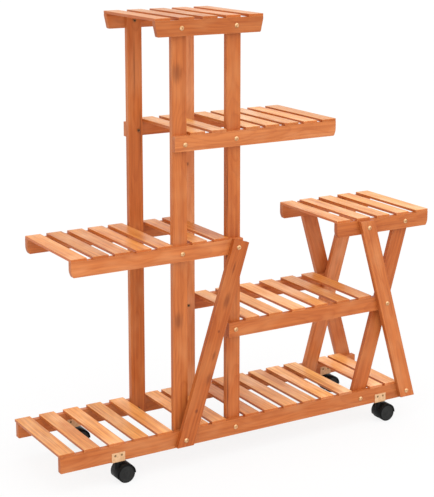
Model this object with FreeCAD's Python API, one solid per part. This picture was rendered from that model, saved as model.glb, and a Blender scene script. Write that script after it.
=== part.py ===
import FreeCAD, Part
import math
import os

# Rolling plant stand, in millimetres. X runs along the stand, Y from the front to the back, Z up.
# The origin is on the floor, below the middle of the whole stand.

# Driving dimensions of the timber
board = 15.0
slat_width = 45.0
slat_thickness = 7.5
frame_depth = 296.0
post_width = 44.0
leg_width = 48.0
brace_width = 48.0
base_rail_height = 45.5
shelf_rail_height = 41.5

# Places along the stand, measured from the left end of the base slats or the right end of the
# base rails. The first slat stands out a little over the left ends of the rails.
base_rail_length = 1148.6
base_slat_overhang = 3.4
left_post_from_left = 370.0
post_spacing = 166.0
top_shelf_from_left = 292.0
crossing_from_right = 106.5
stool_past_crossing = 153.5
middle_rail_past_crossing = 15.0
small_shelf_length = 327.0
long_shelf_length = 513.0

# Heights of the slat tops above the slats of the base
middle_shelf_rise = 280.5
left_shelf_rise = 516.0
upper_shelf_rise = 813.0
top_shelf_rise = 1115.5

# Slats: the usual gap in each row, the distance of a row from the post or leg beside it,
# and the shares of the free length before each slat between the posts
base_left_gap = 27.5
base_right_gap = 19.5
base_end_gap = 12.0
long_shelf_gap = 17.2
middle_shelf_gap = 32.0
small_shelf_gap = 25.5
base_left_row_to_post = 13.0
base_right_row_to_post = 9.5
base_right_row_to_leg = 13.5
base_end_row_to_leg = 0.5
base_end_row_to_rail_end = 51.0
middle_row_to_leg = 31.5
long_row_to_post = 8.5
base_bay_shares = (0.33, 0.72)
left_shelf_bay_shares = (0.24, 0.95)
upper_shelf_bay_shares = (0.08, 0.72)

# Ends of the rails, the legs and the brace
rail_corner_radius = 3.5
curved_end_inset = 6.5
curved_end_share = 0.5
slanted_end_inset = 8.0
slanted_end_share = 0.85
leg_lean_degrees = 16.1
leg_beside_crossing = 2.5
foot_above_rail_bottom = 4.0
board_to_slat_gap = 0.5
brace_past_bolt = 18.0
brace_beside_bolts = 4.5

# Bolts with their nuts, drawn with flat sides because they repeat so often. The bolt of the upper
# shelf in the left post sits a little to the right of the others and lower.
bolt_diameter = 5.0
bolt_hole_clearance = 0.25
bolt_head_diameter = 13.5
bolt_head_top_diameter = 7.0
bolt_head_height = 3.2
nut_across_flats = 8.0
nut_height = 4.0
shank_sides = 8
head_sides = 12
nut_sides = 6
odd_bolt_aside = 9.0
odd_bolt_drop = 3.0

# Casters: bracket, stem, hood, axle and two wheels each
left_caster_from_left = 171.0
right_caster_from_right = 114.0
bracket_width = 39.0
bracket_plate_height = 25.0
bracket_sheet = 1.5
bracket_bend_radius = 1.4
bracket_screw_spacing = 19.0
bracket_screw_drop = 7.5
bracket_screw_hole_diameter = 4.0
wheel_diameter = 50.0
caster_width = 42.0
caster_trail = 18.0
hood_skin = 1.4
hood_to_wheel = 1.0
hood_front_below_axle = 10.0
hood_rear_below_axle = 1.0
hood_web = 9.4
hood_boss_diameter = 16.0
hood_neck_height = 5.6
stem_diameter = 6.0
stem_neck = 4.0
stem_length_in_hood = 21.0
axle_diameter = 6.0
wheel_cover = 4.0
running_clearance = 0.05
seat_clearance = 0.02
side_clearance = 0.5

# Length by which every cutting shape passes the material
overrun = 1.0

# Places worked out from the driving dimensions
base_length = base_slat_overhang + base_rail_length
overall_length = base_length - crossing_from_right + stool_past_crossing
left_end = -overall_length / 2
base_rail_start = left_end + base_slat_overhang
base_rail_end = left_end + base_length
rail_outer_y = -frame_depth / 2
rail_inner_y = rail_outer_y + board
wheel_radius = wheel_diameter / 2
axle_length = caster_width - 2 * wheel_cover
hood_top = wheel_diameter + hood_to_wheel + hood_skin
boss_top = hood_top + hood_neck_height
base_rail_bottom = boss_top + side_clearance + bracket_sheet
base_slat_top = base_rail_bottom + base_rail_height + slat_thickness
left_post_x = left_end + left_post_from_left
right_post_x = left_post_x + post_spacing
crossing_x = base_rail_end - crossing_from_right
lean = math.radians(leg_lean_degrees)


def rail_bottom_under(slat_top):
    return slat_top - slat_thickness - shelf_rail_height


def rail_middle_under(slat_top):
    return rail_bottom_under(slat_top) + shelf_rail_height / 2


middle_slat_top = base_slat_top + middle_shelf_rise
left_slat_top = base_slat_top + left_shelf_rise
upper_slat_top = base_slat_top + upper_shelf_rise
top_slat_top = base_slat_top + top_shelf_rise
base_bolt_z = base_rail_bottom + base_rail_height / 2
middle_bolt_z = rail_middle_under(middle_slat_top)
left_bolt_z = rail_middle_under(left_slat_top)
upper_bolt_z = rail_middle_under(upper_slat_top)
top_bolt_z = rail_middle_under(top_slat_top)


def leg_x(z, side):
    # Side -1 is a leg that rises to the left, side 1 is one that rises to the right. Their middle
    # lines pass the bolt at the crossing on either side.
    return crossing_x + side * ((z - middle_bolt_z) * math.tan(lean) + leg_beside_crossing)


# Timber shapes: an outline in X and Z, swept along Y by the thickness of the board

def line(start, end):
    return Part.makeLine(FreeCAD.Vector(start[0], 0, start[1]), FreeCAD.Vector(end[0], 0, end[1]))


def arc(start, middle, end):
    points = [FreeCAD.Vector(x, 0, z) for x, z in (start, middle, end)]
    return Part.Arc(*points).toShape()


def board_from_edges(edges, front_y):
    wire = Part.Wire(Part.__sortEdges__(edges))
    face = Part.Face(wire)
    face.translate(FreeCAD.Vector(0, front_y, 0))
    return face.extrude(FreeCAD.Vector(0, board, 0))


def board_from_points(points, front_y):
    following = points[1:] + points[:1]
    edges = [line(start, end) for start, end in zip(points, following)]
    return board_from_edges(edges, front_y)


def ring_of_corners(across_flats, sides, x, y, z):
    radius = across_flats / 2 / math.cos(math.pi / sides)
    turns = [math.pi * (2 * index + 1) / sides for index in range(sides + 1)]
    return [FreeCAD.Vector(x + radius * math.cos(turn), y, z + radius * math.sin(turn))
            for turn in turns]


def flat_sided(across_flats, sides, x, y, z, length):
    face = Part.Face(Part.makePolygon(ring_of_corners(across_flats, sides, x, y, z)))
    return face.extrude(FreeCAD.Vector(0, length, 0))


def tapered(top, rim):
    # A solid between two rings of corners with as many sides each.
    faces = [Part.Face(Part.makePolygon(top)), Part.Face(Part.makePolygon(rim))]
    for index in range(len(top) - 1):
        corners = [top[index], top[index + 1], rim[index + 1], rim[index], top[index]]
        faces.append(Part.Face(Part.makePolygon(corners)))
    solid = Part.Solid(Part.Shell(faces))
    if solid.Volume < 0:
        solid.reverse()
    return solid


def drilled(shape, places):
    across = bolt_diameter + 2 * bolt_hole_clearance
    box = shape.BoundBox
    length = box.YLength + 2 * overrun
    for x, z in places:
        shape = shape.cut(flat_sided(across, shank_sides, x, box.YMin - overrun, z, length))
    return shape


def rounded_corners(shape, corners, radius):
    picked = []
    for edge in shape.Edges:
        box = edge.BoundBox
        for x, z in corners:
            near = abs(box.XMin - x) + abs(box.XMax - x) + abs(box.ZMin - z) + abs(box.ZMax - z)
            if near < overrun / 100 and box.YLength > board / 2:
                picked.append(edge)
    return shape.makeFillet(radius, picked)


# Rails: straight boards whose free ends are square, rounded, curved or slanted

def end_edges(style, x, inward, low, high):
    # The end from its top to its bottom, and the point where it meets the bottom edge.
    height = high - low
    if style == "curved":
        drop = height * curved_end_share
        radius = (drop ** 2 + curved_end_inset ** 2) / (2 * curved_end_inset)
        half_turn = math.asin(drop / radius) / 2
        turn_z = low + drop
        foot = (x + inward * curved_end_inset, low)
        half = (x + inward * radius * (1 - math.cos(half_turn)), turn_z - radius * math.sin(half_turn))
        return [line((x, high), (x, turn_z)), arc((x, turn_z), half, foot)], foot
    if style == "slanted":
        turn_z = low + height * slanted_end_share
        foot = (x + inward * slanted_end_inset, low)
        return [line((x, high), (x, turn_z)), line((x, turn_z), foot)], foot
    return [line((x, high), (x, low))], (x, low)


def rail(start, length, low, height, left_style, right_style, holes):
    high = low + height
    finish = start + length
    left, left_foot = end_edges(left_style, start, 1, low, high)
    right, right_foot = end_edges(right_style, finish, -1, low, high)
    top = line((start, high), (finish, high))
    bottom = line(left_foot, right_foot)
    shape = board_from_edges(left + right + [top, bottom], rail_outer_y)
    corners = []
    if left_style != "square":
        corners.append(left_foot)
    if right_style != "square":
        corners.append(right_foot)
    if left_style == "rounded":
        corners.append((start, high))
    if right_style == "rounded":
        corners.append((finish, high))
    if corners:
        shape = rounded_corners(shape, corners, rail_corner_radius)
    return drilled(shape, holes)


def base_rail():
    places = [left_post_x, right_post_x, leg_x(base_bolt_z, 1), leg_x(base_bolt_z, -1)]
    holes = [(x, base_bolt_z) for x in places]
    return rail(base_rail_start, base_rail_length, base_rail_bottom, base_rail_height,
                "rounded", "rounded", holes)


def shelf_rail(start, length, slat_top, left_style, right_style, holes):
    return rail(start, length, rail_bottom_under(slat_top), shelf_rail_height,
                left_style, right_style, holes)


def holes_at(height, places):
    return [(x, height) for x in places]


upper_shelf_start = left_post_x - post_width / 2
left_shelf_start = right_post_x + post_width / 2 - long_shelf_length
middle_rail_start = right_post_x - post_width / 2
top_shelf_start = left_end + top_shelf_from_left
stool_start = crossing_x + stool_past_crossing - small_shelf_length
both_posts = (left_post_x, right_post_x)
odd_bolt_x = left_post_x + odd_bolt_aside
odd_bolt_z = upper_bolt_z - odd_bolt_drop


def middle_rail():
    length = crossing_x + middle_rail_past_crossing - middle_rail_start
    return shelf_rail(middle_rail_start, length, middle_slat_top, "square", "square",
                      holes_at(middle_bolt_z, (right_post_x, crossing_x)))


def stool_rail():
    places = (leg_x(left_bolt_z, -1), leg_x(left_bolt_z, 1))
    return shelf_rail(stool_start, small_shelf_length, left_slat_top, "curved", "curved",
                      holes_at(left_bolt_z, places))


def left_shelf_rail():
    return shelf_rail(left_shelf_start, long_shelf_length, left_slat_top, "curved", "square",
                      holes_at(left_bolt_z, both_posts))


def upper_shelf_rail():
    holes = [(odd_bolt_x, odd_bolt_z), (right_post_x, upper_bolt_z)]
    return shelf_rail(upper_shelf_start, long_shelf_length, upper_slat_top, "square", "curved", holes)


def top_shelf_rail():
    return shelf_rail(top_shelf_start, small_shelf_length, top_slat_top, "slanted", "slanted",
                      holes_at(top_bolt_z, both_posts))


# Posts stand behind the rails, from the bottom of the base rail to the slats of the top shelf

def post(x, holes):
    low = base_rail_bottom
    high = top_slat_top - slat_thickness - board_to_slat_gap
    left = x - post_width / 2
    right = x + post_width / 2
    points = [(left, low), (right, low), (right, high), (left, high)]
    return drilled(board_from_points(points, rail_inner_y), holes)


# Crossed legs under the stool: one on the outer face of the rails, one on their inner face

def leg(side, front_y):
    low = base_rail_bottom + foot_above_rail_bottom
    high = left_slat_top - slat_thickness - board_to_slat_gap
    half = leg_width / 2 / math.cos(lean)
    foot = leg_x(low, side)
    head = leg_x(high, side)
    points = [(foot - half, low), (foot + half, low), (head + half, high), (head - half, high)]
    holes = [(leg_x(base_bolt_z, side), base_bolt_z), (crossing_x, middle_bolt_z),
             (leg_x(left_bolt_z, side), left_bolt_z)]
    return drilled(board_from_points(points, front_y), holes)


# The brace runs across the front, from the foot of the left post to the shelf at the right post

def front_brace():
    rise = left_bolt_z - base_bolt_z
    tilt = math.atan2(post_spacing, rise)
    across = (math.cos(tilt), -math.sin(tilt))
    along = (math.sin(tilt), math.cos(tilt))
    half = brace_width / 2
    low = base_rail_bottom + foot_above_rail_bottom
    foot = left_post_x + brace_beside_bolts - (base_bolt_z - low) * math.tan(tilt)
    spread = half / math.cos(tilt)
    end_x = right_post_x + brace_beside_bolts + along[0] * brace_past_bolt
    end_z = left_bolt_z + along[1] * brace_past_bolt
    points = [(foot - spread, low), (foot + spread, low),
              (end_x + across[0] * half, end_z + across[1] * half),
              (end_x - across[0] * half, end_z - across[1] * half)]
    holes = [(left_post_x, base_bolt_z), (right_post_x, left_bolt_z)]
    return drilled(board_from_points(points, rail_outer_y - board), holes)


# Slats lie across both rails, with their ends flush with the outer faces of the rails

def slat(start, slat_top):
    corner = FreeCAD.Vector(start, rail_outer_y, slat_top - slat_thickness)
    return Part.makeBox(slat_width, frame_depth, slat_thickness, corner)


def slat_row(start, finish, usual_gap, slat_top):
    # As many slats as fit between start and finish, with the gap between them spread evenly.
    room = finish - start
    count = max(1, round((room + usual_gap) / (slat_width + usual_gap)))
    pitch = (room - slat_width) / max(1, count - 1)
    return [slat(start + index * pitch, slat_top) for index in range(count)]


def slats_between_posts(shares, slat_top):
    free = post_spacing - post_width - len(shares) * slat_width
    start = left_post_x + post_width / 2
    return [slat(start + share * free + index * slat_width, slat_top)
            for index, share in enumerate(shares)]


def leg_edge(slat_top, edge):
    # The left (-1) or right (1) edge of the inner leg, where it comes nearest to the slats.
    z = slat_top if edge > 0 else slat_top - slat_thickness
    return leg_x(z, 1) + edge * leg_width / 2 / math.cos(lean)


def slat_groups():
    post_left_edge = left_post_x - post_width / 2
    post_right_edge = right_post_x + post_width / 2
    left_row_end = post_left_edge - long_row_to_post
    upper_row_start = post_right_edge + long_row_to_post
    upper_end = upper_shelf_start + long_shelf_length
    right_row_start = post_right_edge + base_right_row_to_post
    right_row_end = leg_edge(base_slat_top, -1) - base_right_row_to_leg
    end_row_start = leg_edge(base_slat_top, 1) + base_end_row_to_leg
    end_row_end = base_rail_end - base_end_row_to_rail_end
    middle_row_end = leg_edge(middle_slat_top, -1) - middle_row_to_leg
    base_left_end = post_left_edge - base_left_row_to_post
    top_end = top_shelf_start + small_shelf_length
    stool_end = stool_start + small_shelf_length
    return {
        "base_left_slats": slat_row(left_end, base_left_end, base_left_gap, base_slat_top),
        "base_centre_slats": slats_between_posts(base_bay_shares, base_slat_top),
        "base_right_slats": slat_row(right_row_start, right_row_end, base_right_gap, base_slat_top),
        "base_end_slats": slat_row(end_row_start, end_row_end, base_end_gap, base_slat_top),
        "middle_shelf_slats": slat_row(right_row_start, middle_row_end, middle_shelf_gap, middle_slat_top),
        "left_shelf_slats": slat_row(left_shelf_start, left_row_end, long_shelf_gap, left_slat_top),
        "left_shelf_centre_slats": slats_between_posts(left_shelf_bay_shares, left_slat_top),
        "upper_shelf_slats": slat_row(upper_row_start, upper_end, long_shelf_gap, upper_slat_top),
        "upper_shelf_centre_slats": slats_between_posts(upper_shelf_bay_shares, upper_slat_top),
        "top_shelf_slats": slat_row(top_shelf_start, top_end, small_shelf_gap, top_slat_top),
        "stool_slats": slat_row(stool_start, stool_end, small_shelf_gap, left_slat_top),
    }


# Bolts: a raised head on the outer face, a shank through two or three boards and a nut inside

def bolt(x, z, boards_outside, boards_inside):
    seat = rail_outer_y - boards_outside * board
    far = rail_inner_y + boards_inside * board
    head_top = ring_of_corners(bolt_head_top_diameter, head_sides, x, seat - bolt_head_height, z)
    head_rim = ring_of_corners(bolt_head_diameter, head_sides, x, seat, z)
    head = tapered(head_top, head_rim)
    shank = flat_sided(bolt_diameter, shank_sides, x, seat, z, far - seat)
    nut = flat_sided(nut_across_flats, nut_sides, x, far, z, nut_height)
    return head.fuse([shank, nut]).removeSplitter()


def side_bolts(brace_boards):
    # Each entry is a place and how many boards lie outside and inside the rail there.
    places = [
        (left_post_x, base_bolt_z, brace_boards, 1),
        (right_post_x, base_bolt_z, 0, 1),
        (leg_x(base_bolt_z, 1), base_bolt_z, 0, 1),
        (leg_x(base_bolt_z, -1), base_bolt_z, 1, 0),
        (right_post_x, middle_bolt_z, 0, 1),
        (crossing_x, middle_bolt_z, 1, 1),
        (left_post_x, left_bolt_z, 0, 1),
        (right_post_x, left_bolt_z, brace_boards, 1),
        (leg_x(left_bolt_z, -1), left_bolt_z, 1, 0),
        (leg_x(left_bolt_z, 1), left_bolt_z, 0, 1),
        (odd_bolt_x, odd_bolt_z, 0, 1),
        (right_post_x, upper_bolt_z, 0, 1),
        (left_post_x, top_bolt_z, 0, 1),
        (right_post_x, top_bolt_z, 0, 1),
    ]
    return [bolt(*place) for place in places]


# Caster brackets: a strip of sheet bent round the bottom of the rail, screwed to it on both faces

def bracket():
    half = board / 2
    outer = half + bracket_sheet
    low = base_rail_bottom - bracket_sheet
    high = base_rail_bottom + bracket_plate_height
    profile = [(-outer, high), (-outer, low), (outer, low), (outer, high),
               (half, high), (half, base_rail_bottom), (-half, base_rail_bottom), (-half, high)]
    start = -bracket_width / 2
    points = [FreeCAD.Vector(start, y, z) for y, z in profile]
    face = Part.Face(Part.makePolygon(points + points[:1]))
    shape = face.extrude(FreeCAD.Vector(bracket_width, 0, 0))
    bends = [edge for edge in shape.Edges
             if edge.BoundBox.XLength > bracket_width / 2 and edge.BoundBox.ZMax < base_rail_bottom]
    shape = shape.makeFillet(bracket_bend_radius, bends)
    length = 2 * (outer + overrun)
    for side in (-1, 1):
        x = side * bracket_screw_spacing / 2
        z = high - bracket_screw_drop
        hole = flat_sided(bracket_screw_hole_diameter, shank_sides, x, -length / 2, z, length)
        shape = shape.cut(hole)
    return shape.cut(neck(stem_neck + 2 * seat_clearance, low - overrun, base_rail_bottom + overrun))


# Stem: a pin with a square neck riveted into the bracket, on which the hood turns

stem_bottom = boss_top - stem_length_in_hood


def neck(side, low, high):
    return Part.makeBox(side, side, high - low, FreeCAD.Vector(-side / 2, -side / 2, low))


def stem():
    shoulder = base_rail_bottom - bracket_sheet
    foot = FreeCAD.Vector(0, 0, stem_bottom)
    pin = Part.makeCylinder(stem_diameter / 2, shoulder - stem_bottom, foot)
    return pin.fuse(neck(stem_neck, shoulder, base_rail_bottom))


# Hood: a round guard over both wheels, a web between them and a boss round the stem

def crosswise(radius, width):
    start = FreeCAD.Vector(caster_trail, -width / 2, wheel_radius)
    return Part.makeCylinder(radius, width, start, FreeCAD.Vector(0, 1, 0))


def below_hood(radius):
    # Everything under the line from the guard's front end, below the stem, to its rear end.
    front_angle = math.asin(hood_front_below_axle / radius)
    rear_angle = math.asin(hood_rear_below_axle / radius)
    front = (caster_trail - radius * math.cos(front_angle), wheel_radius - hood_front_below_axle)
    rear = (caster_trail + radius * math.cos(rear_angle), wheel_radius - hood_rear_below_axle)
    slope = (rear[1] - front[1]) / (rear[0] - front[0])
    reach = radius - (caster_trail - front[0]) + overrun
    start = (front[0] - reach, front[1] - slope * reach)
    end = (rear[0] + reach, rear[1] + slope * reach)
    deep = wheel_radius - radius - reach
    points = [FreeCAD.Vector(x, -caster_width, z)
              for x, z in (start, end, (end[0], deep), (start[0], deep), start)]
    face = Part.Face(Part.makePolygon(points))
    return face.extrude(FreeCAD.Vector(0, 2 * caster_width, 0))


def hood():
    inner = wheel_radius + hood_to_wheel
    outer = inner + hood_skin
    guard = crosswise(outer, caster_width).cut(crosswise(inner, caster_width + 2 * overrun))
    web = crosswise(inner + hood_skin / 2, hood_web)
    boss_foot = FreeCAD.Vector(0, 0, wheel_radius)
    boss = Part.makeCylinder(hood_boss_diameter / 2, boss_top - wheel_radius, boss_foot)
    boss = boss.cut(crosswise(inner, caster_width))
    shape = guard.fuse(web).cut(below_hood(outer)).fuse(boss).removeSplitter()
    bore_foot = FreeCAD.Vector(0, 0, stem_bottom - side_clearance)
    bore_length = boss_top - bore_foot.z + overrun
    bore = Part.makeCylinder(stem_diameter / 2 + running_clearance, bore_length, bore_foot)
    return shape.cut(bore).cut(crosswise(axle_diameter / 2 + seat_clearance, hood_web + 2 * overrun))


# Wheels: each a solid drum with a blind bore, running on the axle that both share

def axle():
    return crosswise(axle_diameter / 2, axle_length)


def wheel(side):
    inner = hood_web / 2 + side_clearance
    outer = caster_width / 2
    bore = axle_diameter / 2 + running_clearance
    bore_end = axle_length / 2 + side_clearance
    profile = [(0, bore_end), (bore, bore_end), (bore, inner), (wheel_radius, inner),
               (wheel_radius, outer), (0, outer)]
    points = [FreeCAD.Vector(caster_trail + r, side * y, wheel_radius) for r, y in profile]
    face = Part.Face(Part.makePolygon(points + points[:1]))
    centre = FreeCAD.Vector(caster_trail, 0, wheel_radius)
    return face.revolve(centre, FreeCAD.Vector(0, 1, 0), 360)


# Output: one file for each piece or group of like pieces

def save(name, solids):
    shape = solids[0] if len(solids) == 1 else Part.makeCompound(solids)
    shape.exportStep("parts/" + name + ".step")


def mirrored(shape):
    return shape.mirror(FreeCAD.Vector(0, 0, 0), FreeCAD.Vector(0, 1, 0))


def save_both_sides(name, shape):
    save("front_" + name, [shape])
    save("back_" + name, [mirrored(shape)])


def save_casters():
    y = rail_outer_y + board / 2
    stems = []
    for depth_name, depth_y in (("front", y), ("back", -y)):
        for side_name, x in (("left", left_end + left_caster_from_left),
                             ("right", base_rail_end - right_caster_from_right)):
            place = FreeCAD.Vector(x, depth_y, 0)
            corner = depth_name + "_" + side_name + "_caster_"
            away = -1 if depth_name == "front" else 1
            save(corner + "bracket", [bracket().translated(place)])
            save(corner + "hood", [hood().translated(place)])
            save(corner + "axle", [axle().translated(place)])
            save(corner + "outer_wheel", [wheel(away).translated(place)])
            save(corner + "inner_wheel", [wheel(-away).translated(place)])
            stems.append(stem().translated(place))
    save("caster_stems", stems)


def main():
    os.makedirs("parts", exist_ok=True)
    save_both_sides("base_rail", base_rail())
    save_both_sides("middle_shelf_rail", middle_rail())
    save_both_sides("stool_rail", stool_rail())
    save_both_sides("left_shelf_rail", left_shelf_rail())
    save_both_sides("upper_shelf_rail", upper_shelf_rail())
    save_both_sides("top_shelf_rail", top_shelf_rail())
    left_holes = [(left_post_x, z) for z in (base_bolt_z, left_bolt_z, top_bolt_z)]
    right_heights = (base_bolt_z, middle_bolt_z, left_bolt_z, upper_bolt_z, top_bolt_z)
    save_both_sides("left_post", post(left_post_x, left_holes + [(odd_bolt_x, odd_bolt_z)]))
    save_both_sides("right_post", post(right_post_x, [(right_post_x, z) for z in right_heights]))
    save_both_sides("outer_leg", leg(-1, rail_outer_y - board))
    save_both_sides("inner_leg", leg(1, rail_inner_y))
    save("front_brace", [front_brace()])
    for name, slats in slat_groups().items():
        save(name, slats)
    save("frame_bolts", side_bolts(1) + [mirrored(shape) for shape in side_bolts(0)])
    save_casters()


main()
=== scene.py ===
import math
import random

import bmesh
import bpy
from mathutils import Matrix, Vector


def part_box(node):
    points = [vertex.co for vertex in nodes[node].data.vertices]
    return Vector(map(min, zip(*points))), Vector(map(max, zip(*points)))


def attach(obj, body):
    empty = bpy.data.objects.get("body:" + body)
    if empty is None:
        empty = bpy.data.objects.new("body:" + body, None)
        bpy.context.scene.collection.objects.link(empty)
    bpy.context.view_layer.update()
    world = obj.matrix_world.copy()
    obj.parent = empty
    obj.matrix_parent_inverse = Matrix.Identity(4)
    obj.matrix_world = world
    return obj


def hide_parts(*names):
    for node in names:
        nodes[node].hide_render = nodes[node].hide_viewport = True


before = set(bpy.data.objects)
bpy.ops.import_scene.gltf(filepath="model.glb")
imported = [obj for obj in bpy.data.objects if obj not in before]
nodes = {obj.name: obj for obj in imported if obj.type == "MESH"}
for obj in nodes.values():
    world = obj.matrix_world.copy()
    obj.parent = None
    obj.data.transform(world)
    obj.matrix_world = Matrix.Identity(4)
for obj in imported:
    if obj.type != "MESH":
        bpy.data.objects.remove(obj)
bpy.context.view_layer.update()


# Frame boards: rails, posts, legs and the brace
# The real ones are planed fir strips, 15 mm thick, cut to length, drilled and bolted face to face.
# Their edges are eased with sandpaper. They are dipped in an orange stain and varnished.

def linear(colour):
    """Linear red, green, blue and alpha of an sRGB hex colour such as "C8743F"."""
    parts = [int(colour[place:place + 2], 16) / 255 for place in (0, 2, 4)]
    return [p / 12.92 if p <= 0.04045 else ((p + 0.055) / 1.055) ** 2.4 for p in parts] + [1.0]


def add(tree, kind, values=None, links=None, **settings):
    """Adds a shader node, with its settings, the values of its sockets and the links into them."""
    made = tree.nodes.new(kind)
    for name, value in settings.items():
        setattr(made, name, value)
    for socket, value in (values or {}).items():
        made.inputs[socket].default_value = value
    for socket, source in (links or {}).items():
        tree.links.new(source, made.inputs[socket])
    return made


def new_material(name):
    """A material with an empty node tree, and its shader joined to the output."""
    material = bpy.data.materials.new(name)
    material.use_nodes = True
    tree = material.node_tree
    tree.nodes.clear()
    shader = add(tree, "ShaderNodeBsdfPrincipled")
    add(tree, "ShaderNodeOutputMaterial", links={"Surface": shader.outputs["BSDF"]})
    return material, tree, shader


# Sockets of a node that mixes two colours: the share of the second one, the first one and the
# second one, and then the mixture that comes out.
SHARE, FIRST, SECOND = 0, 6, 7
MIXTURE = 2

# Scales of the fir's patterns are given as so many a metre: along the grain, through the board and
# across it. The patterns fill a log that is this many metres long, wide and deep. A board's lot,
# three numbers up to this far from zero, says where in the log it lies.
LOG_SIZE = 8.0
LOT_REACH = 9.0

# There is a place for a knot every 133 mm along the log and across it, and one place in seven has
# one. Core, rim and reach are shares of those 133 mm, from the knot's middle: the core is 11 mm
# across and the rim 15 mm, and up to 29 mm away the rings swell round it, by 13 mm at most.
KNOT_PLACES = (7.5, 0.01, 7.5)
KNOT_CHANCE = 0.14
KNOT_CORE = 0.04
KNOT_RIM = 0.055
KNOT_SWELL_REACH = 0.22
KNOT_SWELL = 0.013

# The pith lies 30 to 70 mm from the board's middle. Rings are 4.2 mm apart, and waves some 300 mm
# long move them by some mm each way. Their depth is what the whole range of the noise would give.
PITH_NEAREST = 0.03
PITH_FARTHEST = 0.07
PITH_SIDEWAYS = 0.02
RING_PITCH = 0.0042
RING_WAVES = (3.2, 8.0, 8.0)
RING_WAVE_DEPTH = 0.055
# Depth of colour at each share of the way from a ring's inner edge to its outer one.
RING_DEPTHS = {0.0: 0.55, 0.12: 0.05, 0.45: 0.0, 0.75: 0.45, 0.95: 1.0}
LATE_WOOD_DEPTH = 0.34

# Stain soaks in unevenly, in bands 8 mm wide and 400 mm long and in patches of 45 by 110 mm. One
# more coat of it lets through so much of red, green and blue.
STAIN_BANDS = (2.5, 130.0, 130.0)
STAIN_PATCHES = (9.0, 22.0, 22.0)
COAT_PASSES = (0.72, 0.56, 0.38)

# Sandpaper rubs the stain thin within 1.6 mm of an edge, in places some 30 mm long. This pale edge
# is also a painted highlight along the edges.
RUBBED_HIGHLIGHT_WIDTH = 0.0016
RUBBED_HIGHLIGHT_PLACES = 35.0
# Late wood and fibres stand up under the varnish by a tenth of a mm.
RELIEF_HEIGHT = 0.00012
# How much the fibres fray the outline of a knot or a streak, in shares of its half width.
MARK_FRAY = 1.2


def slat_places(tree, place, board, lot, middle, row):
    """The place on its own slat, a chance draw for each slat and how far down the row it lies."""
    first, last, pitch, width = row
    x = add(tree, "ShaderNodeSeparateXYZ", links={"Vector": place}).outputs["X"]
    step = add(tree, "ShaderNodeMath", {1: first + width / 2 - pitch / 2}, {0: x},
               operation="SUBTRACT").outputs[0]
    step = add(tree, "ShaderNodeMath", {1: pitch}, {0: step}, operation="DIVIDE").outputs[0]
    step = add(tree, "ShaderNodeMath", links={0: step}, operation="FLOOR").outputs[0]
    own = add(tree, "ShaderNodeTexWhiteNoise", {"Vector": lot}, {"W": step}, noise_dimensions="4D")
    centre = add(tree, "ShaderNodeMath", {1: pitch}, {0: step}, operation="MULTIPLY").outputs[0]
    centre = add(tree, "ShaderNodeCombineXYZ", links={"Z": centre}).outputs[0]
    board = add(tree, "ShaderNodeVectorMath", {1: (0, 0, middle.x - first - width / 2)},
                {0: board}, operation="ADD").outputs[0]
    board = add(tree, "ShaderNodeVectorMath", links={0: board, 1: centre},
                operation="SUBTRACT").outputs[0]
    down_the_row = add(tree, "ShaderNodeMapRange", {"From Min": first, "From Max": last},
                       {"Value": x}).outputs[0]
    return board, own, down_the_row


def scattered_knots(tree, lying):
    """Where the knots are, and where the rings swell round them, each from 0 to 1."""
    cells = add(tree, "ShaderNodeMapping", {"Scale": KNOT_PLACES}, {"Vector": lying}).outputs[0]
    cells = add(tree, "ShaderNodeTexVoronoi", {"Scale": 1.0}, {"Vector": cells})
    has_knot = add(tree, "ShaderNodeSeparateColor", links={"Color": cells.outputs["Color"]})
    has_knot = add(tree, "ShaderNodeMath", {1: 1 - KNOT_CHANCE}, {0: has_knot.outputs[0]},
                   operation="GREATER_THAN").outputs[0]
    knot = add(tree, "ShaderNodeMapRange", {"From Min": KNOT_RIM, "From Max": KNOT_CORE},
               {"Value": cells.outputs["Distance"]}).outputs[0]
    knot = add(tree, "ShaderNodeMath", links={0: knot, 1: has_knot},
               operation="MULTIPLY").outputs[0]
    swell = add(tree, "ShaderNodeMapRange", {"From Max": KNOT_SWELL_REACH, "To Min": 1.0,
                "To Max": 0.0}, {"Value": cells.outputs["Distance"]},
                interpolation_type="SMOOTHERSTEP").outputs[0]
    swell = add(tree, "ShaderNodeMath", links={0: swell, 1: has_knot},
                operation="MULTIPLY").outputs[0]
    return knot, swell


def growth_rings(tree, board, lying, pith, swell):
    """Depth of the late wood: rings are cylinders round the pith, wavy and pushed out by knots."""
    wave = add(tree, "ShaderNodeMapping", {"Scale": RING_WAVES}, {"Vector": lying}).outputs[0]
    wave = add(tree, "ShaderNodeTexNoise", {"Scale": 1.0, "Detail": 2.0, "Roughness": 0.45},
               {"Vector": wave}).outputs["Fac"]
    reach = add(tree, "ShaderNodeMapping", {"Scale": (0, 1, 1), "Location": pith},
                {"Vector": board}).outputs[0]
    reach = add(tree, "ShaderNodeVectorMath", links={0: reach}, operation="LENGTH").outputs["Value"]
    reach = add(tree, "ShaderNodeMath", {1: RING_WAVE_DEPTH}, {0: wave, 2: reach},
                operation="MULTIPLY_ADD").outputs[0]
    reach = add(tree, "ShaderNodeMath", {1: KNOT_SWELL}, {0: swell, 2: reach},
                operation="MULTIPLY_ADD").outputs[0]
    ring = add(tree, "ShaderNodeMath", {1: 1 / RING_PITCH}, {0: reach},
               operation="MULTIPLY").outputs[0]
    ring = add(tree, "ShaderNodeMath", links={0: ring}, operation="FRACT").outputs[0]
    late = add(tree, "ShaderNodeValToRGB", links={"Fac": ring})
    inner_edge, *between, outer_edge = RING_DEPTHS
    stops = late.color_ramp.elements
    stops[0].position = inner_edge
    stops[1].position = outer_edge
    for position in between:
        stops.new(position)
    for stop, depth in zip(stops, RING_DEPTHS.values()):
        stop.color = (depth, depth, depth, 1)
    return late.outputs["Color"]


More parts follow.
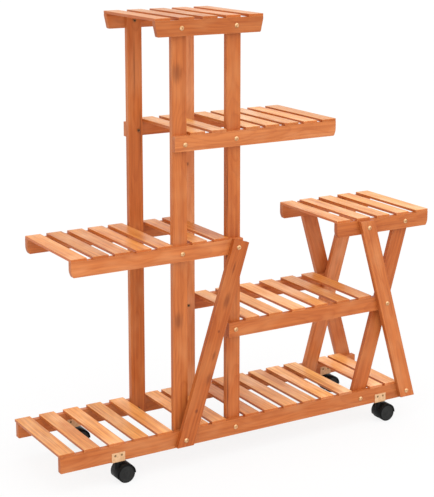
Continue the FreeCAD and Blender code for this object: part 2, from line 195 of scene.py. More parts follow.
def dark_mark(tree, board, fibres, spot, half_length, half_width, depth):
    """A knot or a streak round one spot of the board, frayed along its outline by the fibres."""
    spread = add(tree, "ShaderNodeMapping", {"Scale": (1 / half_length, 0, 1 / half_width),
                 "Location": (-spot.x / half_length, 0, -spot.z / half_width)},
                 {"Vector": board}).outputs[0]
    spread = add(tree, "ShaderNodeVectorMath", links={0: spread}, operation="LENGTH")
    spread = add(tree, "ShaderNodeMath", {1: MARK_FRAY}, {0: fibres, 2: spread.outputs["Value"]},
                 operation="MULTIPLY_ADD").outputs[0]
    return add(tree, "ShaderNodeMapRange", {"From Min": 2.0, "From Max": 0.8, "To Max": depth},
               {"Value": spread}, interpolation_type="SMOOTHSTEP").outputs[0]


def squareness(tree, normal, axis):
    """How squarely the surface faces along an axis, either way, from 0 to 1."""
    facing = add(tree, "ShaderNodeVectorMath", {1: axis}, {0: normal},
                 operation="DOT_PRODUCT").outputs["Value"]
    return add(tree, "ShaderNodeMath", links={0: facing}, operation="ABSOLUTE").outputs[0]


def near_edge(tree, normal, width, sharpest, most=1.0):
    """Grows to most within that width of an edge, where a rounded normal leaves the face's own."""
    rounded = add(tree, "ShaderNodeBevel", {"Radius": width}, samples=4).outputs["Normal"]
    edge = add(tree, "ShaderNodeVectorMath", links={0: rounded, 1: normal},
               operation="DOT_PRODUCT").outputs["Value"]
    return add(tree, "ShaderNodeMapRange", {"From Min": 0.99, "From Max": sharpest, "To Max": most},
               {"Value": edge}).outputs[0]


def stained_fir(name, finish, along, through, middle, seed, coats_and_light, row=None, marks=()):
    """Varnished fir with its grain along one axis, cut from its own place in the log.

    Its coats are the stain that the board took beyond the usual, below 0 where it took less, and
    also painted light and shade: they make boards and slats paler or darker where the light on them
    differs, and their change from the first slat of a row to its last is painted light falling
    across the row. Two numbers, for the first slat of a row and for its last. row holds the first
    edge, the last edge, the pitch and the width of a row of slats, which gives each slat of one CAD
    node its own figure and tone. Each of marks is a knot or a mineral streak: its place along X and
    up, its half length along the grain, its half width across it and its depth of colour.
    """
    early_wood, late_wood, deep_stain_and_shade, pale_stain_and_highlight, knot_wood = map(linear, finish["tones"])
    chance = random.Random(seed)
    lot = Vector([chance.uniform(-LOT_REACH, LOT_REACH) for axis in "xyz"])
    pith = (0, chance.uniform(PITH_NEAREST, PITH_FARTHEST),
            chance.uniform(-PITH_SIDEWAYS, PITH_SIDEWAYS))
    material, tree, shader = new_material(name)
    turn = Matrix((along, through, along.cross(through)))
    place = add(tree, "ShaderNodeTexCoord").outputs["Object"]
    board = add(tree, "ShaderNodeMapping", {"Rotation": turn.to_euler(),
                "Location": -(turn @ middle)}, {"Vector": place}).outputs["Vector"]
    row_light_share = {}
    if row:
        board, own, down_the_row = slat_places(tree, place, board, lot, middle, row)
        row_light_share = {SHARE: down_the_row}
    else:
        own = add(tree, "ShaderNodeTexWhiteNoise", {"Vector": lot}, noise_dimensions="3D")
    shift = add(tree, "ShaderNodeVectorMath", {1: (LOG_SIZE, LOG_SIZE, LOG_SIZE)},
                {0: own.outputs["Color"]}, operation="MULTIPLY").outputs[0]
    lying = add(tree, "ShaderNodeVectorMath", links={0: board, 1: shift},
                operation="ADD").outputs[0]

    knot, swell = scattered_knots(tree, lying)
    late = growth_rings(tree, board, lying, pith, swell)
    bands = add(tree, "ShaderNodeMapping", {"Scale": STAIN_BANDS}, {"Vector": lying}).outputs[0]
    bands = add(tree, "ShaderNodeTexNoise", {"Scale": 1.0, "Detail": 3.0, "Roughness": 0.55},
                {"Vector": bands}).outputs["Fac"]
    patches = add(tree, "ShaderNodeMapping", {"Scale": STAIN_PATCHES}, {"Vector": lying}).outputs[0]
    patches = add(tree, "ShaderNodeTexNoise", {"Scale": 1.0, "Detail": 2.0},
                  {"Vector": patches}).outputs["Fac"]
    fibres = add(tree, "ShaderNodeMapping", {"Scale": finish["fibres"]},
                 {"Vector": lying}).outputs[0]
    fibres = add(tree, "ShaderNodeTexNoise", {"Scale": 1.0, "Detail": 2.0},
                 {"Vector": fibres}).outputs["Fac"]

    # Late wood over early wood, then stain in deep bands and pale patches, and knots.
    grain = add(tree, "ShaderNodeMix", {SHARE: LATE_WOOD_DEPTH, FIRST: (0, 0, 0, 1)},
                {SECOND: late}, data_type="RGBA").outputs[MIXTURE]
    grain = add(tree, "ShaderNodeMix", {FIRST: early_wood, SECOND: late_wood}, {SHARE: grain},
                data_type="RGBA").outputs[MIXTURE]
    soak = add(tree, "ShaderNodeMapRange", {"From Min": 0.42, "From Max": 0.7,
               "To Max": finish["deepest_band"]}, {"Value": bands}).outputs[0]
    grain = add(tree, "ShaderNodeMix", {SECOND: deep_stain_and_shade}, {SHARE: soak, FIRST: grain},
                data_type="RGBA").outputs[MIXTURE]
    light = add(tree, "ShaderNodeMapRange", {"From Min": 0.55, "From Max": 0.3, "To Max": 0.5},
                {"Value": patches}).outputs[0]
    grain = add(tree, "ShaderNodeMix", {SECOND: pale_stain_and_highlight}, {SHARE: light, FIRST: grain},
                data_type="RGBA").outputs[MIXTURE]
    grain = add(tree, "ShaderNodeMix", {SECOND: knot_wood}, {SHARE: knot, FIRST: grain},
                data_type="RGBA").outputs[MIXTURE]

    # The board's own coats of stain, with painted light and shade in them. From the first slat of a
    # row to the last they change as painted light falling across the row.
    first_coat_and_light, last_coat_and_light = [[share ** number for share in COAT_PASSES] + [1] for number in coats_and_light]
    coat_and_light = add(tree, "ShaderNodeMix", {SHARE: 0.0, FIRST: first_coat_and_light, SECOND: last_coat_and_light},
               row_light_share, data_type="RGBA").outputs[MIXTURE]
    grain = add(tree, "ShaderNodeMix", {SHARE: 1.0}, {FIRST: grain, SECOND: coat_and_light},
                data_type="RGBA", blend_type="MULTIPLY").outputs[MIXTURE]
    for x, z, half_length, half_width, depth in marks:
        spot = turn @ (Vector((x, 0, z)) - middle)
        mark = dark_mark(tree, board, fibres, spot, half_length, half_width, depth)
        grain = add(tree, "ShaderNodeMix", {SECOND: knot_wood}, {SHARE: mark, FIRST: grain},
                    data_type="RGBA").outputs[MIXTURE]

    # End grain drinks more stain. The slats' upright faces, their sides and ends, are painted
    # deeper:
    # painted shade in the narrow gaps between them. On the eased edges the stain is rubbed thin in
    # places, and that pale edge is also a painted highlight.
    normal = add(tree, "ShaderNodeNewGeometry").outputs["True Normal"]
    end = add(tree, "ShaderNodeMapRange", {"From Min": 0.5, "From Max": 0.9, "To Max": 0.3},
              {"Value": squareness(tree, normal, along)}).outputs[0]
    end_grain_and_shade = end
    if row:
        end_grain_and_shade = add(tree, "ShaderNodeMapRange", {"From Min": 0.7, "From Max": 0.3, "To Max": 0.8},
                   {"Value": squareness(tree, normal, through)}).outputs[0]
    grain = add(tree, "ShaderNodeMix", {SECOND: deep_stain_and_shade}, {SHARE: end_grain_and_shade, FIRST: grain},
                data_type="RGBA").outputs[MIXTURE]
    # The pale rubbed edges are partly wear and partly a painted highlight.
    rub_and_highlight = add(tree, "ShaderNodeTexNoise", {"Scale": RUBBED_HIGHLIGHT_PLACES, "Detail": 3.0},
              {"Vector": lying}).outputs["Fac"]
    rub_and_highlight = add(tree, "ShaderNodeMapRange", {"From Min": 0.4, "From Max": 0.62, "To Min": 0.15,
              "To Max": 0.7}, {"Value": rub_and_highlight}).outputs[0]
    edge = near_edge(tree, normal, RUBBED_HIGHLIGHT_WIDTH, sharpest=0.85)
    rub_and_highlight = add(tree, "ShaderNodeMath", links={0: edge, 1: rub_and_highlight}, operation="MULTIPLY").outputs[0]
    grain = add(tree, "ShaderNodeMix", {SECOND: pale_stain_and_highlight}, {SHARE: rub_and_highlight, FIRST: grain},
                data_type="RGBA").outputs[MIXTURE]

    # Each board or slat is darker or paler by chance, and so is each fibre in it.
    darkest, palest = finish["boards_differ"]
    tone = add(tree, "ShaderNodeMapRange", {"To Min": darkest, "To Max": palest},
               {"Value": own.outputs["Value"]}).outputs[0]
    darkest, palest = finish["fibres_differ"]
    fleck = add(tree, "ShaderNodeMapRange", {"From Min": 0.3, "From Max": 0.7, "To Min": darkest,
                "To Max": palest}, {"Value": fibres}).outputs[0]
    tone = add(tree, "ShaderNodeMath", links={0: tone, 1: fleck}, operation="MULTIPLY").outputs[0]
    grain = add(tree, "ShaderNodeHueSaturation", links={"Value": tone, "Color": grain})
    tree.links.new(grain.outputs["Color"], shader.inputs["Base Color"])

    # Satin varnish over open grain, duller on the ends, which soak it up.
    rough = add(tree, "ShaderNodeMapRange", {"From Min": 0.3, "From Max": 0.7, "To Min": 0.36,
                "To Max": 0.5}, {"Value": patches}).outputs[0]
    rough = add(tree, "ShaderNodeMath", {1: 0.15}, {0: end, 2: rough},
                operation="MULTIPLY_ADD").outputs[0]
    tree.links.new(rough, shader.inputs["Roughness"])
    relief = add(tree, "ShaderNodeMath", {1: 0.6}, {0: fibres, 2: late},
                 operation="MULTIPLY_ADD").outputs[0]
    relief = add(tree, "ShaderNodeBump", {"Strength": 0.35, "Distance": RELIEF_HEIGHT},
                 {"Height": relief})
    tree.links.new(relief.outputs["Normal"], shader.inputs["Normal"])
    shader.inputs["IOR"].default_value = 1.5
    shader.inputs["Specular IOR Level"].default_value = finish["wood_gloss"]
    shader.inputs["Coat Weight"].default_value = finish["varnish"]
    shader.inputs["Coat Roughness"].default_value = 0.3
    return material


def ease_edges(piece, width):
    """Rounds the sharp edges of a CAD piece by that width, once its triangles are whole faces."""
    piece.modifiers.new("weld", "WELD").merge_threshold = 1e-5
    plain = piece.modifiers.new("plain", "DECIMATE")
    plain.decimate_type = "DISSOLVE"
    plain.angle_limit = math.radians(0.5)
    eased = piece.modifiers.new("eased", "BEVEL")
    eased.width = width
    eased.segments = 2
    eased.limit_method = "ANGLE"
    eased.angle_limit = math.radians(40)
    eased.harden_normals = True


def finish_board(name, finish, along, through, seed, coats_and_light, row=None, marks=()):
    """Gives a CAD node of boards or slats its own fir and eases its edges."""
    low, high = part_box(name)
    fir = stained_fir("stained_fir_" + name, finish, along, through, (low + high) / 2, seed, coats_and_light,
                      row, marks)
    nodes[name].material_slots[0].material = fir
    ease_edges(nodes[name], finish["easing"])


def leaning(turn):
    """The direction of a board that leans to the right by that angle from upright."""
    return Vector((math.sin(turn), 0, math.cos(turn)))


# Stained fir is a warm orange brown with darker lines lengthwise, a few knots and a soft shine.
FRAME_FINISH = {
    # Stained early wood, late wood, wood that drank the stain, which is also the painted shade on
    # the slats' sides and ends, wood rubbed pale, which is also the painted highlight on edges, and
    # knots.
    "tones": ("C47038", "A25024", "903F18", "D08A58", "642A10"),
    # Share of the surface under a clear glossy film, and the gloss of the wood below it.
    "varnish": 0.12,
    "wood_gloss": 0.2,
    # Fibres 0.8 mm wide and 40 mm long.
    "fibres": (25.0, 1250.0, 1250.0),
    # The darkest and the palest that a whole board may be, and a fibre in it.
    "boards_differ": (0.94, 1.06),
    "fibres_differ": (0.93, 1.05),
    # How much of the wood's colour the deepest band of stain takes over.
    "deepest_band": 0.5,
    # Width of the eased edges.
    "easing": 0.0013,
}
LENGTHWISE = Vector((1, 0, 0))
DEPTHWISE = Vector((0, 1, 0))
UPRIGHT = Vector((0, 0, 1))
LEG_LEAN = math.radians(16.1)
# The brace goes 166 mm to the right while it climbs 516 mm.
BRACE_LEAN = math.atan2(0.166, 0.516)
GRAIN_LINES = {"rail": LENGTHWISE, "post": UPRIGHT, "outer_leg": leaning(-LEG_LEAN),
               "inner_leg": leaning(LEG_LEAN), "brace": leaning(BRACE_LEAN)}

# Knots and dark mineral streaks that catch the eye on the boards: place along and up, half length
# and half width in metres, and depth of colour.
MARKS = {
    "front_left_post": ((-0.236, 1.084, 0.028, 0.014, 0.55), (-0.236, 0.412, 0.024, 0.014, 0.55)),
    "front_right_post": ((-0.083, 0.748, 0.125, 0.0026, 0.75), (-0.081, 0.190, 0.085, 0.0026, 0.7)),
    "front_brace": ((-0.102, 0.457, 0.024, 0.009, 0.55), (-0.143, 0.308, 0.014, 0.005, 0.55),
                    (-0.127, 0.374, 0.005, 0.003, 0.8), (-0.159, 0.245, 0.018, 0.009, 0.45),
                    (-0.198, 0.160, 0.006, 0.005, 0.7), (-0.080, 0.544, 0.018, 0.0035, 0.6)),
    "back_left_post": ((-0.231, 1.070, 0.085, 0.0026, 0.5), (-0.214, 0.890, 0.090, 0.003, 0.5)),
    "back_right_post": ((-0.065, 0.784, 0.006, 0.005, 0.7),),
}
# Boards come from different trees and dips: coats of stain beyond the usual. The numbers also
# hold painted light and shade: the back right post, which lies in shade, is painted paler.
BOARD_COATS_AND_LIGHT = {"front_brace": 0.7, "front_right_post": 0.45, "front_left_post": 0.15,
               "back_left_post": 0.15, "back_right_post": -0.7, "front_outer_leg": 0.1,
               "front_inner_leg": 0.5, "back_outer_leg": 0.15, "back_inner_leg": -0.5,
               "front_base_rail": 0.15, "front_left_shelf_rail": -0.1,
               "front_middle_shelf_rail": 0.3, "front_stool_rail": 0.4,
               "front_upper_shelf_rail": -0.3, "front_top_shelf_rail": 0.4}

for seed, name in enumerate(sorted(nodes)):
    for ending, along in GRAIN_LINES.items():
        if name.endswith(ending):
            coat_and_light = BOARD_COATS_AND_LIGHT.get(name, 0)
            finish_board(name, FRAME_FINISH, along, DEPTHWISE, seed, (coat_and_light, coat_and_light),
                         marks=MARKS.get(name, ()))


# Slats: eleven groups across the rails
# Each is a thinner fir strip, 45 by 7.5 mm, nailed down on both rails with its ends flush.
# They have the frame's stain under more of its varnish, and each slat has its own figure.

SLAT_WIDTH = 0.045
# What rounding may add to a slat's width where the slats of a row are told apart.
SLAT_SLACK = 0.001
# The slats' tones are paler than the frame's. They are in part paler wood that takes less of the
# stain, and in part painted light, standing in for the stronger light on their tops. They read as a
# clearer orange than the frame, with a broad shine where the tops are seen at a slant.
SLAT_FINISH_AND_LIGHT = {
    "tones": ("E69A4B", "D47E35", "B2531C", "F4B87C", "75391A"),
    "varnish": 0.42,
    "wood_gloss": 0.1,
    # Fibres are drawn 2.4 mm wide and 80 mm long, as coarse as they need to show on the slats.
    "fibres": (12.0, 420.0, 420.0),
    "boards_differ": (0.9, 1.1),
    "fibres_differ": (0.82, 1.12),
    "deepest_band": 0.7,
    "easing": 0.0009,
}
# Coats of stain beyond the usual on the first slat of each row and on its last, left to right. They
# also hold painted light and shade: the change along a row is painted light falling across its
# slats, as on the base's right slats, painted dark at the left and pale at the right.
SLAT_COATS_AND_LIGHT = {"top_shelf_slats": (0.4, 0.45), "upper_shelf_slats": (-0.9, 0.05),
              "upper_shelf_centre_slats": (-0.6, -0.5), "stool_slats": (-0.05, -0.4),
              "left_shelf_slats": (0.2, 0.35), "left_shelf_centre_slats": (0.15, 0.9),
              "middle_shelf_slats": (-0.6, -0.05), "base_left_slats": (0.05, -0.2),
              "base_centre_slats": (-0.45, 0.15), "base_right_slats": (0.7, -1.1),
              "base_end_slats": (-1.0, -0.4)}
# The slats' seeds start here, clear of the boards' own.
SLAT_SEEDS = 100


def places_along(node, longest):
    """Lowest and highest X of each piece of a CAD node, where no piece is longer than that."""
    spots = sorted({round(v.co.x, 5) for v in nodes[node].data.vertices})
    groups = [[spots[0]]]
    for x in spots[1:]:
        if x - groups[-1][0] > longest:
            groups.append([])
        groups[-1].append(x)
    return [(group[0], group[-1]) for group in groups]


for seed, name in enumerate(sorted(nodes)):
    if name.endswith("slats"):
        places = places_along(name, SLAT_WIDTH + SLAT_SLACK)
        pitch = (places[-1][0] - places[0][0]) / max(1, len(places) - 1)
        finish_board(name, SLAT_FINISH_AND_LIGHT, DEPTHWISE, UPRIGHT, SLAT_SEEDS + seed, SLAT_COATS_AND_LIGHT[name],
                     (places[0][0], places[-1][-1], pitch, SLAT_WIDTH))


# Bolts: 28 button heads outside, nuts inside
# Zinc plated steel bolts with a low domed head and a hexagon socket, pulled tight by hand.
# Each goes through two or three boards into a plain hexagon nut.

BOLT_SIDES = 36
SOCKET_FLATS = 0.0040
SOCKET_DEPTH = 0.0017
SOCKET_LIP = 0.0001
HEAD_RADIUS = 0.00675
HEAD_HEIGHT = 0.0032
# Height of the ellipse that the dome follows, up to the rim of the socket.
DOME_HEIGHT = 0.00346
DOME_STEPS = 6
SHANK_RADIUS = 0.0025
# The shank ends in the nut, this far inside its free face.
SHANK_END = 0.001
NUT_FLATS = 0.0080
NUT_HEIGHT = 0.0040
# The nut's corners are turned down to these radii, towards the board and on the free face. Its
# thread starts in a wider mouth.
NUT_SEAT_RADIUS = 0.0043
NUT_SEAT_CHAMFER = 0.0003
NUT_FACE_RADIUS = 0.0041
NUT_FACE_CHAMFER = 0.0004
NUT_MOUTH_RADIUS = 0.0027
NUT_MOUTH_DEPTH = 0.0008
# The bolt's thread ends inside the nut. Its root, shoulder and tip lie this far in from the free
# face.
THREAD_RADIUS = SHANK_RADIUS - 0.0001
THREAD_ROOT = 0.0012
THREAD_SHOULDER = 0.0006
THREAD_TIP = 0.0003
THREAD_TIP_RADIUS = 0.0019
# Wider than a bolt's head, and far less than the 141 mm between the nearest two bolts.
BOLT_APART = 0.020


def hexagon(flats):
    """The distance from the middle of a hexagon to its side, for each direction round it."""
    return lambda turn: flats / 2 / math.cos((turn + math.pi / 6) % (math.pi / 3) - math.pi / 6)


def clipped(flats, radius):
    """A hexagon whose corners are turned down to a radius, as on the chamfer of a nut."""
    shape = hexagon(flats)
    return lambda turn: min(shape(turn), radius)


def dome(outer):
    """Rings of a bolt head from the rim of its socket down to its seat."""
    steepest = math.asin(HEAD_HEIGHT / DOME_HEIGHT)
    turns = [steepest * (1 - step / DOME_STEPS) for step in range(DOME_STEPS + 1)]
    return [(outer - HEAD_HEIGHT + DOME_HEIGHT * math.sin(turn), HEAD_RADIUS * math.cos(turn))
            for turn in turns]


def turned(mesh, rings, centre, outward, sides):
    """Adds a closed turned form along Y: rings of (distance outward, radius or shape)."""
    loops = []
    for distance, radius in rings:
        loop = []
        for index in range(sides):
            turn = 2 * math.pi * index / sides
            reach = radius(turn) if callable(radius) else radius
            loop.append(mesh.verts.new((centre.x + reach * math.cos(turn),
                                        centre.y + outward * distance,
                                        centre.z + reach * math.sin(turn))))
        loops.append(loop)
    for first, second in zip(loops, loops[1:]):
        for index in range(sides):
            after = (index + 1) % sides
            mesh.faces.new((first[index], first[after], second[after], second[index]))
    mesh.faces.new(loops[0])
    mesh.faces.new(loops[-1])


def piece_from(mesh, name, material, sharp=35):
    """Makes an object of the mesh, smooth but for the edges sharper than that many degrees."""
    bmesh.ops.recalc_face_normals(mesh, faces=mesh.faces)
    data = bpy.data.meshes.new(name)
    mesh.to_mesh(data)
    mesh.free()
    data.polygons.foreach_set("use_smooth", [True] * len(data.polygons))
    data.set_sharp_from_angle(angle=math.radians(sharp))
    data.materials.append(material)
    made = bpy.data.objects.new(name, data)
    bpy.context.scene.collection.objects.link(made)
    return made


def fine_steel(name, bright, dull, metallic, roughness, grit):
    """Plated or bare steel: an even metal shine, broken by a fine grit of that many metres.

    The two colours lie in clouds twelve times as wide as the grit, which is a little duller.
    """
    cloud_width = 12 * grit
    material, tree, shader = new_material(name)
    place = add(tree, "ShaderNodeTexCoord").outputs["Object"]
    cloud = add(tree, "ShaderNodeTexNoise", {"Scale": 1 / cloud_width, "Detail": 3.0},
                {"Vector": place}).outputs["Fac"]
    fine = add(tree, "ShaderNodeTexNoise", {"Scale": 1 / grit, "Detail": 2.0},
               {"Vector": place}).outputs["Fac"]
    tint = add(tree, "ShaderNodeMapRange", {"From Min": 0.35, "From Max": 0.65},
               {"Value": cloud}).outputs[0]
    tint = add(tree, "ShaderNodeMix", {FIRST: linear(bright), SECOND: linear(dull)},
               {SHARE: tint}, data_type="RGBA").outputs[MIXTURE]
    tree.links.new(tint, shader.inputs["Base Color"])
    shine = add(tree, "ShaderNodeMapRange", {"From Min": 0.3, "From Max": 0.7,
                "To Min": roughness - 0.07, "To Max": roughness + 0.09}, {"Value": fine}).outputs[0]
    tree.links.new(shine, shader.inputs["Roughness"])
    relief = add(tree, "ShaderNodeBump", {"Strength": 0.2, "Distance": grit / 8}, {"Height": fine})
    tree.links.new(relief.outputs["Normal"], shader.inputs["Normal"])
    shader.inputs["Metallic"].default_value = metallic
    return material


def sorted_bolts(corners):
    """The corners of the bolts' one node, in a list for each bolt."""
    bolts = []
    for corner in corners:
        for bolt in bolts:
            if (abs(bolt[0].x - corner.x) < BOLT_APART and abs(bolt[0].z - corner.z) < BOLT_APART
                    and bolt[0].y * corner.y > 0):
                bolt.append(corner)
                break
        else:
            bolts.append([corner])
    return bolts


# Zinc under a thin yellow film reads as pale brass, with a clear highlight on each dome.
warm_zinc = fine_steel("warm_zinc_plate", "EFC294", "B78A5A", metallic=0.9,
                       roughness=0.3, grit=0.0004)
# The same plate on the nuts behind the boards, painted dull and brown: painted shade, for the shade
# that they sit in behind the boards, so that they hardly show on wood.
shaded_nut_zinc = fine_steel("nut_zinc_painted_shade", "A87A50", "7E5836", metallic=0.5,
                         roughness=0.5, grit=0.0005)
# Bare thread of the bolts' ends, black with cutting oil.
oiled_steel = fine_steel("oiled_thread_steel", "3A3028", "1E1812", metallic=0.7,
                         roughness=0.5, grit=0.0005)

heads = bmesh.new()
nuts = bmesh.new()
threads = bmesh.new()
socket = hexagon(SOCKET_FLATS)
nut = hexagon(NUT_FLATS)
for points in sorted_bolts([vertex.co for vertex in nodes["frame_bolts"].data.vertices]):
    side = -1 if points[0].y < 0 else 1
    outer = max(side * p.y for p in points)
    inner = min(side * p.y for p in points)
    centre = Vector(((min(p.x for p in points) + max(p.x for p in points)) / 2, 0,
                     (min(p.z for p in points) + max(p.z for p in points)) / 2))
    turned(heads, [(outer - SOCKET_DEPTH, socket), (outer - SOCKET_LIP, socket), *dome(outer),
                   (outer - HEAD_HEIGHT, SHANK_RADIUS), (inner + SHANK_END, SHANK_RADIUS)],
           centre, side, BOLT_SIDES)
    turned(nuts, [(inner + NUT_HEIGHT, clipped(NUT_FLATS, NUT_SEAT_RADIUS)),
                  (inner + NUT_HEIGHT - NUT_SEAT_CHAMFER, nut), (inner + NUT_FACE_CHAMFER, nut),
                  (inner, clipped(NUT_FLATS, NUT_FACE_RADIUS)), (inner, NUT_MOUTH_RADIUS),
                  (inner + NUT_MOUTH_DEPTH, SHANK_RADIUS)], centre, side, BOLT_SIDES)
    turned(threads, [(inner + THREAD_ROOT, THREAD_RADIUS), (inner + THREAD_SHOULDER, THREAD_RADIUS),
                     (inner + THREAD_TIP, THREAD_TIP_RADIUS)], centre, side, BOLT_SIDES)

bolt_heads = piece_from(heads, "button_head_bolts", warm_zinc)
hex_nuts = piece_from(nuts, "hexagon_nuts", shaded_nut_zinc)
bolt_ends = piece_from(threads, "threaded_bolt_ends", oiled_steel)
for made in (bolt_heads, hex_nuts, bolt_ends):
    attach(made, "frame")
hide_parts("frame_bolts")


# Caster brackets and their screws
# A strip of 1.5 mm steel sheet, bent round the underside of a base rail and yellow passivated.
# Two small pan head screws hold each side of it to the rail.

SCREW_SIDES = 20
SCREWS_APART = 0.019
SCREW_BELOW_EDGE = 0.0075
SCREW_SHANK_RADIUS = 0.0018
SCREW_HEAD_RADIUS = 0.0031
# Distance out of the bracket's face and radius: shank, head, shoulder, crown and the recess in it.
SCREW_RINGS = ((-0.004, SCREW_SHANK_RADIUS), (0.0, SCREW_SHANK_RADIUS), (0.0, SCREW_HEAD_RADIUS),
               (0.0004, SCREW_HEAD_RADIUS), (0.0009, 0.0026), (0.0012, 0.0012), (0.0007, 0.0006))

# Yellow passivate over zinc: a pale straw colour, nearly matt.
straw_zinc = fine_steel("yellow_passivated_zinc", "DDB48A", "CFA175", metallic=0.2,
                        roughness=0.5, grit=0.0006)
# The same plate on small screw heads, painted dark in a shadow tone: painted shade, so that they
# stand out from the bracket.
shaded_screw_zinc = fine_steel("screw_zinc_painted_shade", "9A7C58", "6E5436", metallic=0.8,
                       roughness=0.5, grit=0.0005)

screws = bmesh.new()
for name in sorted(nodes):
    if not name.endswith("bracket"):
        continue
    low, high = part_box(name)
    nodes[name].material_slots[0].material = straw_zinc
    for x in (-SCREWS_APART / 2, SCREWS_APART / 2):
        for side, face in ((-1, low.y), (1, high.y)):
            centre = Vector(((low.x + high.x) / 2 + x, face, high.z - SCREW_BELOW_EDGE))
            turned(screws, SCREW_RINGS, centre, side, SCREW_SIDES)
bracket_screws = piece_from(screws, "bracket_screws", shaded_screw_zinc)
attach(bracket_screws, "frame")


# Casters: stems, hoods, axles and wheels
# Hoods and wheels are injection moulded nylon, black all through, with a fine spark texture.
# A steel stem riveted into the bracket carries each hood, and a steel axle carries two wheels.

# Edges are worn within 1.2 mm. The nylon's flow marks are some 17 mm wide: so many to a metre.
WORN_WIDTH = 0.0012
FLOW_MARKS = 60.0
SPARK_HEIGHT = 0.00008


def moulded_nylon(name, colour, worn, gloss, roughness, texture):
    """Black nylon from a mould textured that many metres fine: a soft shine, greyer where rubbed."""
    material, tree, shader = new_material(name)
    place = add(tree, "ShaderNodeTexCoord").outputs["Object"]
    sparks = add(tree, "ShaderNodeTexNoise", {"Scale": 1 / texture, "Detail": 3.0},
                 {"Vector": place}).outputs["Fac"]
    flow = add(tree, "ShaderNodeTexNoise", {"Scale": FLOW_MARKS, "Detail": 3.0},
               {"Vector": place}).outputs["Fac"]
    normal = add(tree, "ShaderNodeNewGeometry").outputs["True Normal"]
    rubbed = add(tree, "ShaderNodeMapRange", {"From Min": 0.52, "From Max": 0.75, "To Max": 0.6},
                 {"Value": flow}).outputs[0]
    edge = near_edge(tree, normal, WORN_WIDTH, sharpest=0.8, most=0.6)
    rubbed = add(tree, "ShaderNodeMath", links={0: rubbed, 1: edge},
                 operation="MAXIMUM").outputs[0]
    tint = add(tree, "ShaderNodeMix", {FIRST: linear(colour), SECOND: linear(worn)},
               {SHARE: rubbed}, data_type="RGBA").outputs[MIXTURE]
    tree.links.new(tint, shader.inputs["Base Color"])
    shine = add(tree, "ShaderNodeMapRange", {"To Min": roughness, "To Max": roughness + 0.18},
                {"Value": rubbed}).outputs[0]
    tree.links.new(shine, shader.inputs["Roughness"])
    relief = add(tree, "ShaderNodeBump", {"Strength": 0.3, "Distance": SPARK_HEIGHT},
                 {"Height": sparks})
    tree.links.new(relief.outputs["Normal"], shader.inputs["Normal"])
    shader.inputs["IOR"].default_value = 1.53
    shader.inputs["Specular IOR Level"].default_value = gloss
    return material


# The hood's texture scatters nearly all of its shine, so it reads as a deep even black.
hood_nylon = moulded_nylon("black_nylon_hood", "0B0B0B", "1C1C1B", gloss=0.12,
                           roughness=0.42, texture=0.0005)
# The discs are a shade greyer than the treads, which the floor keeps clean and dark.
disc_nylon = moulded_nylon("black_nylon_disc", "151514", "2A2A28", gloss=0.26,
                           roughness=0.46, texture=0.0006)
tread_nylon = moulded_nylon("black_nylon_tread", "090909", "1A1A19", gloss=0.12,
                            roughness=0.5, texture=0.0006)
# Bare drawn steel, for the stems and the axles: a clean light grey with a bright streak of light.
drawn_steel = fine_steel("drawn_steel_pin", "BDBBB4", "9A978F", metallic=1.0,
                         roughness=0.32, grit=0.0003)

HOOD_EASING = 0.0004
WHEEL_SIDES = 96
BORE_RADIUS = 0.0031
BORE_BOTTOM_RADIUS = 0.00305
BORE_DEPTH = 0.006
# The discs on both sides of a wheel lie deeper than its hub and its rim. Straight slopes lead down
# to the inner one, and round fillets to the outer one: here half way down and all the way.
DISC_SINK = 0.0012
HUB_RADIUS = 0.0066
HUB_SLOPE = 0.0004
HUB_EASING = 0.0008
HUB_EASING_DEPTH = 0.0002
INNER_RIM_WIDTH = 0.0035
INNER_RIM_SLOPE = 0.0005
OUTER_RIM_WIDTH = 0.0036
HALF_FILLET_SINK = 0.0009
HALF_FILLET_WIDTH = 0.0005
FILLET_WIDTH = 0.0012
# The tread's edges are rounded by this much. Half way round they lie this far inside the corner.
TREAD_EASING = 0.0016
TREAD_MIDWAY = 0.0005

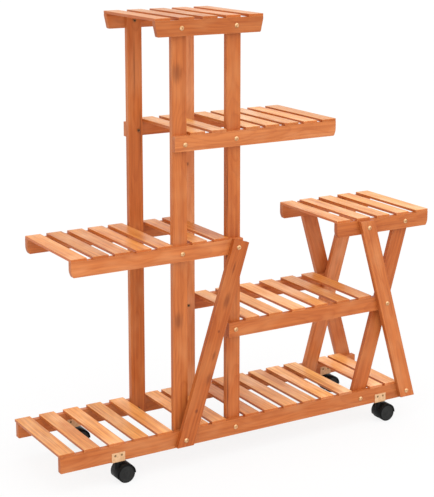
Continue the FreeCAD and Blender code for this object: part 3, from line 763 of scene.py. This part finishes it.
for corner in ("front_left", "front_right", "back_left", "back_right"):
    hood = nodes[corner + "_caster_hood"]
    hood.material_slots[0].material = hood_nylon
    ease_edges(hood, HOOD_EASING)
    nodes[corner + "_caster_axle"].material_slots[0].material = drawn_steel
    axle_low, axle_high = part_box(corner + "_caster_axle")
    for place in ("outer", "inner"):
        node = corner + "_caster_" + place + "_wheel"
        low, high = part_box(node)
        middle = (low + high) / 2
        away = 1 if middle.y > (axle_low.y + axle_high.y) / 2 else -1
        face = (high.y - low.y) / 2
        tread = (high.z - low.z) / 2
        inner_rim = tread - INNER_RIM_WIDTH
        outer_rim = tread - OUTER_RIM_WIDTH
        inner_side = [(-face + BORE_DEPTH, BORE_BOTTOM_RADIUS), (-face, BORE_RADIUS),
                      (-face, HUB_RADIUS - HUB_SLOPE), (-face + DISC_SINK, HUB_RADIUS),
                      (-face + DISC_SINK, inner_rim - INNER_RIM_SLOPE), (-face, inner_rim)]
        rolling_face = [(-face, tread - TREAD_EASING),
                        (-face + TREAD_MIDWAY, tread - TREAD_MIDWAY),
                        (-face + TREAD_EASING, tread), (face - TREAD_EASING, tread),
                        (face - TREAD_MIDWAY, tread - TREAD_MIDWAY), (face, tread - TREAD_EASING)]
        outer_side = [(face, outer_rim), (face - HALF_FILLET_SINK, outer_rim - HALF_FILLET_WIDTH),
                      (face - DISC_SINK, outer_rim - FILLET_WIDTH),
                      (face - DISC_SINK, HUB_RADIUS + FILLET_WIDTH),
                      (face - HALF_FILLET_SINK, HUB_RADIUS + HALF_FILLET_WIDTH),
                      (face - HUB_EASING_DEPTH, HUB_RADIUS), (face, HUB_RADIUS - HUB_EASING)]
        wheel = bmesh.new()
        turned(wheel, inner_side + rolling_face + outer_side, middle, away, WHEEL_SIDES)
        made = piece_from(wheel, corner + "_" + place + "_wheel_tread", disc_nylon, sharp=30)
        made.data.materials.append(tread_nylon)
        for facet in made.data.polygons:
            if math.hypot(facet.center.x - middle.x, facet.center.z - middle.z) > outer_rim:
                facet.material_index = 1
        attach(made, corner + "_" + place + "_wheel")
        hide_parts(node)
nodes["caster_stems"].material_slots[0].material = drawn_steel


# Floor, light and camera
# A plain pale studio floor and wide soft light from above and in front, as in a catalogue picture.

def looked_at(tree):
    """1 where the camera sees it, straight, in a reflection or through glass, and else 0."""
    rays = add(tree, "ShaderNodeLightPath").outputs
    seen = add(tree, "ShaderNodeMath", links={0: rays["Is Camera Ray"], 1: rays["Is Glossy Ray"]},
               operation="MAXIMUM").outputs[0]
    return add(tree, "ShaderNodeMath", links={0: seen, 1: rays["Is Transmission Ray"]},
               operation="MAXIMUM").outputs[0]


# Metres from the middle of the floor to its sides.
FLOOR_REACH = 30
# White matt paint. To the camera and in reflections a share of it glows white, so the horizon is
# lost and the stand's shadow stays soft.
FLOOR_GLOW = 0.85
floor_paint, tree, shader = new_material("white_matt_floor")
shader.inputs["Base Color"].default_value = (0.8, 0.8, 0.8, 1)
shader.inputs["Roughness"].default_value = 0.9
glow = add(tree, "ShaderNodeEmission", {"Strength": 1.0})
glowing = add(tree, "ShaderNodeMath", {1: FLOOR_GLOW}, {0: looked_at(tree)},
              operation="MULTIPLY").outputs[0]
mixed = add(tree, "ShaderNodeMixShader", links={0: glowing, 1: shader.outputs[0],
            2: glow.outputs[0]})
output = next(n for n in tree.nodes if n.bl_idname == "ShaderNodeOutputMaterial")
tree.links.new(mixed.outputs[0], output.inputs["Surface"])
floor_mesh = bmesh.new()
bmesh.ops.create_grid(floor_mesh, x_segments=2, y_segments=2, size=FLOOR_REACH)
floor = piece_from(floor_mesh, "studio_floor", floor_paint)

# A white room all round. It gives a little less light than the white that the camera sees.
ROOM_LIGHT = 0.85
world = bpy.data.worlds.new("studio_white")
bpy.context.scene.world = world
world.use_nodes = True
tree = world.node_tree
tree.nodes.clear()
level = add(tree, "ShaderNodeMapRange", {"To Min": ROOM_LIGHT, "To Max": 1.0},
            {"Value": looked_at(tree)}).outputs[0]
sky = add(tree, "ShaderNodeBackground", {"Color": (1, 1, 1, 1)}, {"Strength": level})
add(tree, "ShaderNodeOutputWorld", links={"Surface": sky.outputs[0]})

# A wide soft source high in front: an even light, with shadows as soft as its spread in degrees.
LIGHT_FROM = (-0.05, -0.53, 0.85)
LIGHT_SPREAD = 110
lamp = bpy.data.lights.new("overhead_light", "SUN")
lamp.energy = 2.0
lamp.angle = math.radians(LIGHT_SPREAD)
overhead = bpy.data.objects.new("overhead_light", lamp)
overhead.rotation_euler = Vector(LIGHT_FROM).to_track_quat("Z", "Y").to_euler()
bpy.context.scene.collection.objects.link(overhead)

# The camera stands front left at eye height, with a long lens, as in the photograph. It looks down
# and to the right by these degrees.
CAMERA_DOWN = 10.78
CAMERA_RIGHT = 30.70
lens = bpy.data.cameras.new("camera")
lens.lens = 99.79
lens.sensor_width = 36.0
lens.shift_y = -0.18
camera = bpy.data.objects.new("camera", lens)
camera.location = (-1.9613, -3.2422, 1.5328)
camera.rotation_euler = (math.radians(90 - CAMERA_DOWN), 0, math.radians(-CAMERA_RIGHT))
bpy.context.scene.collection.objects.link(camera)
bpy.context.scene.camera = camera
bpy.context.scene.view_settings.view_transform = "Standard"
